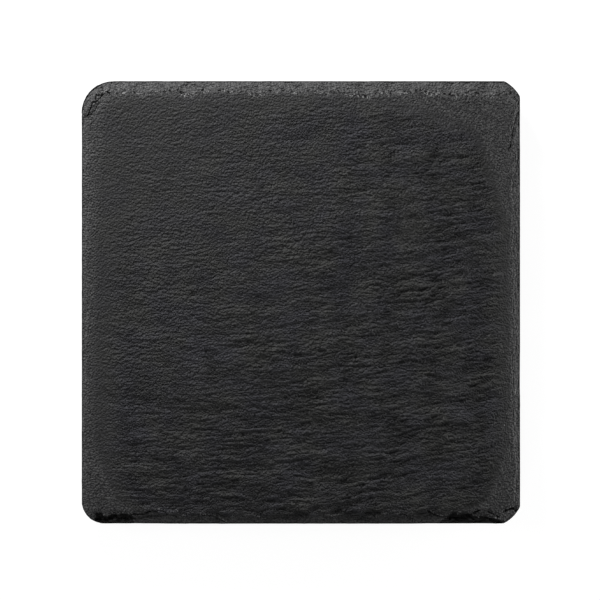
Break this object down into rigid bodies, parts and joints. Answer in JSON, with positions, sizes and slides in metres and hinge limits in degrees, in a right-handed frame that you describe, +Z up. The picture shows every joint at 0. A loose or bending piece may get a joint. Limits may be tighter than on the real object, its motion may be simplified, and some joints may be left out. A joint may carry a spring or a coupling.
{
  "type": "drink coaster",
  "caption": "Square drink coaster of dark riven slate with hand-dressed edges, standing on self-adhesive foam feet.",
  "frame": {"origin": "middle of the slab's outline, on the table that the feet stand on", "axes": "+X to the right and +Y to the back edge, as the picture shows the coaster from above; +Z up, through the drink face"},
  "size_m": [0.1, 0.101, 0.0071],
  "materials": {
    "slate": "matte, riven",
    "foam": "matte closed-cell foam",
    "adhesive": "translucent film"
  },
  "bodies": {
    "root": {"slate_slab": "slate", "foot_pad_front_left": "foam", "foot_pad_front_right": "foam", "foot_pad_back_left": "foam", "foot_pad_back_right": "foam", "foot_adhesive_front_left": "adhesive", "foot_adhesive_front_right": "adhesive", "foot_adhesive_back_left": "adhesive", "foot_adhesive_back_right": "adhesive"}
  },
  "joints": []
}
